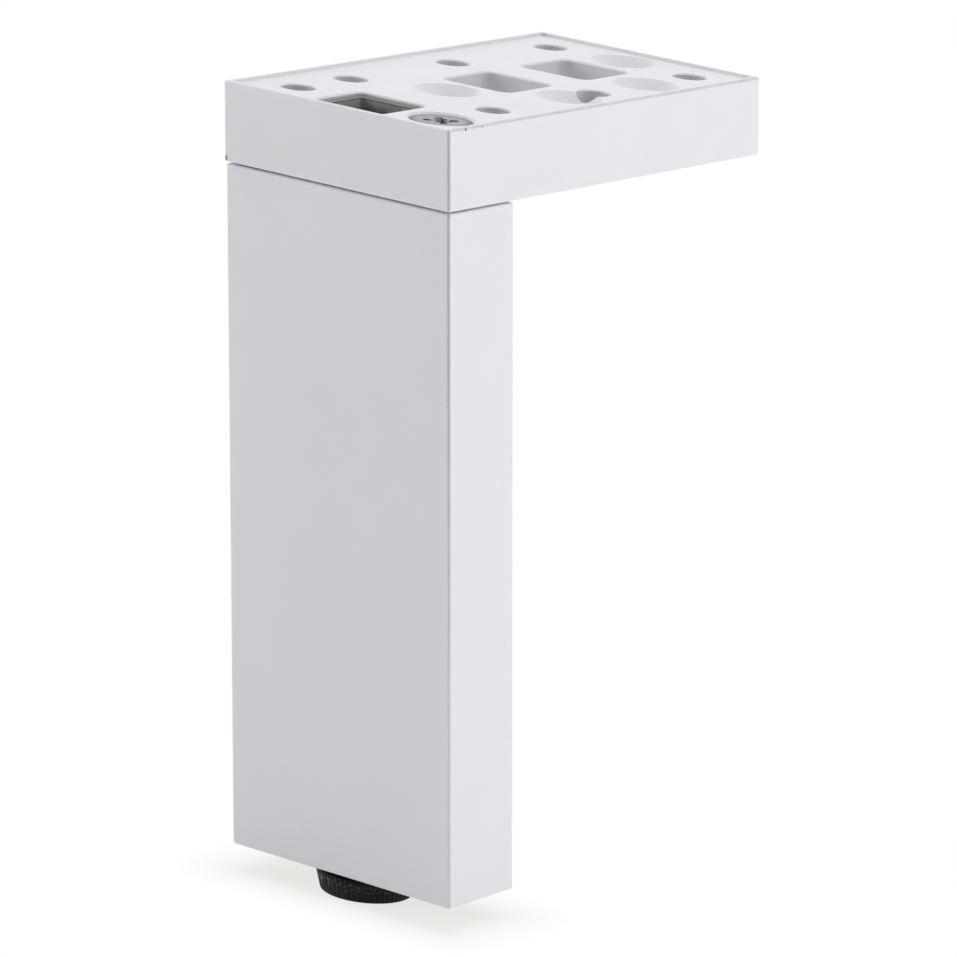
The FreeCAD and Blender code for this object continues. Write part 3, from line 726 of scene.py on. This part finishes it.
def add_floor():
    """Pale floor that shows white, with the object's shadow on it."""
    bpy.ops.mesh.primitive_plane_add(size=FLOOR_SIZE)
    floor = bpy.context.object
    floor.name = "floor"
    material = bpy.data.materials.new("floor_look")
    material.use_nodes = True
    tree = material.node_tree
    tree.nodes.remove(tree.nodes["Principled BSDF"])
    paper = add_node(tree, "ShaderNodeBsdfDiffuse", {"Color": colour(*FLOOR_PAPER)})
    away = distance_outside(tree, object_place(tree), *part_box("leg_tube"))
    far = spread(tree, away, 0.0, 1.0, 0.0, GLOW_REACH)
    tint = mix_colours(tree, far, colour(*FLOOR_SHADOW_TINT), colour(*PURE_WHITE))
    glow = add_node(tree, "ShaderNodeEmission", {"Color": tint, "Strength": 1.0})
    glow_share = spread(tree, away, GLOW_NEAR, GLOW_FAR, 0.0, GLOW_REACH)
    share = maths(tree, "MULTIPLY", seen_rays(tree), glow_share)
    inputs = {0: share, 1: paper.outputs["BSDF"], 2: glow.outputs["Emission"]}
    mixed = add_node(tree, "ShaderNodeMixShader", inputs)
    put(tree, tree.nodes["Material Output"].inputs["Surface"], mixed.outputs["Shader"])
    floor.data.materials.append(material)


AMBIENT = 0.365
# The studio is dim on the side where the photographer stands
DIM_SIDE = (-0.78, -0.58, 0.22)
DIM_SHARE = 0.15
# How far a direction turns to that side, as a dot product, where the dimming starts and is full
DIM_START, DIM_FULL = 0.1, 0.8


def light_world():
    """Soft light from all round but the photographer's side, in front of a white background."""
    world = bpy.data.worlds.new("studio")
    scene.world = world
    world.use_nodes = True
    tree = world.node_tree
    sky = tree.nodes["Background"]
    path = add_node(tree, "ShaderNodeLightPath")
    mirrored = maths(tree, "MAXIMUM", path.outputs["Is Glossy Ray"], path.outputs["Is Transmission Ray"])
    level = spread(tree, mirrored, AMBIENT, 1.0, 0.0, 1.0)
    direction = add_node(tree, "ShaderNodeTexCoord").outputs["Generated"]
    facing = vector_maths(tree, "DOT_PRODUCT", {0: direction, 1: DIM_SIDE}, "Value")
    share = spread(tree, facing, 1.0, DIM_SHARE, DIM_START, DIM_FULL)
    studio = maths(tree, "MULTIPLY", level, share)
    put(tree, sky.inputs["Color"], colour(*PURE_WHITE))
    put(tree, sky.inputs["Strength"], spread(tree, path.outputs["Is Camera Ray"], studio, 1.0, 0.0, 1.0))


# What the soft lights look at
TARGET = Vector((0.02, 0.0, 0.08))


def add_softbox(name, direction, distance, width, height, power):
    """Soft light that looks at the object from a direction."""
    data = bpy.data.lights.new(name, "AREA")
    data.shape = "RECTANGLE"
    data.size = width
    data.size_y = height
    data.energy = power
    lamp = bpy.data.objects.new(name, data)
    scene.collection.objects.link(lamp)
    away = Vector(direction).normalized()
    lamp.location = TARGET + away * distance
    lamp.rotation_euler = (-away).to_track_quat("-Z", "Y").to_euler()


def add_softboxes():
    """Light from the right, from a low strip that misses the head's top, from the left and from above."""
    add_softbox("softbox_right", (0.35, -0.95, 0.3), distance=1.4, width=1.2, height=1.2, power=5.6)
    add_softbox("softbox_low", (0.2, -0.98, -0.035), distance=1.0, width=1.2, height=0.1, power=2.4)
    add_softbox("softbox_left", (-0.8, 0.75, 0.12), distance=1.4, width=1.0, height=1.0, power=9.2)
    add_softbox("softbox_top", (0.2, 0.0, 1.0), distance=1.3, width=1.3, height=1.3, power=11.0)


# Camera, fitted to the photograph's corners and hole centres
PHOTO_WIDTH = 957
FOCAL_PIXELS = 6403.6
SENSOR = 36.0
CAMERA_PLACE = Vector((-0.9164, -0.6792, 0.3639))
CAMERA_YAW = math.radians(35.552)
CAMERA_PITCH = math.radians(13.923)
# The photograph's level lines slope by this share of their run while its upright lines stay upright
LEVEL_SLOPE = 0.0893


def add_camera():
    """Camera at the photograph's place. Its frame leans sideways as the photograph's does."""
    data = bpy.data.cameras.new("camera")
    data.sensor_width = SENSOR
    data.lens = FOCAL_PIXELS / PHOTO_WIDTH * SENSOR
    camera = bpy.data.objects.new("camera", data)
    scene.collection.objects.link(camera)
    level = math.cos(CAMERA_PITCH)
    ahead = Vector((math.cos(CAMERA_YAW) * level, math.sin(CAMERA_YAW) * level, -math.sin(CAMERA_PITCH)))
    camera.location = CAMERA_PLACE
    camera.rotation_euler = ahead.to_track_quat("-Z", "Y").to_euler()
    placed = Matrix.Translation(CAMERA_PLACE) @ camera.rotation_euler.to_matrix().to_4x4()
    lean = Matrix.Identity(4)
    lean[1][0] = LEVEL_SLOPE
    stand = bpy.data.objects.new("camera_stand", None)
    scene.collection.objects.link(stand)
    camera.parent = stand
    camera.matrix_parent_inverse = placed @ lean @ placed.inverted()
    scene.camera = camera


add_floor()
light_world()
add_softboxes()
add_camera()
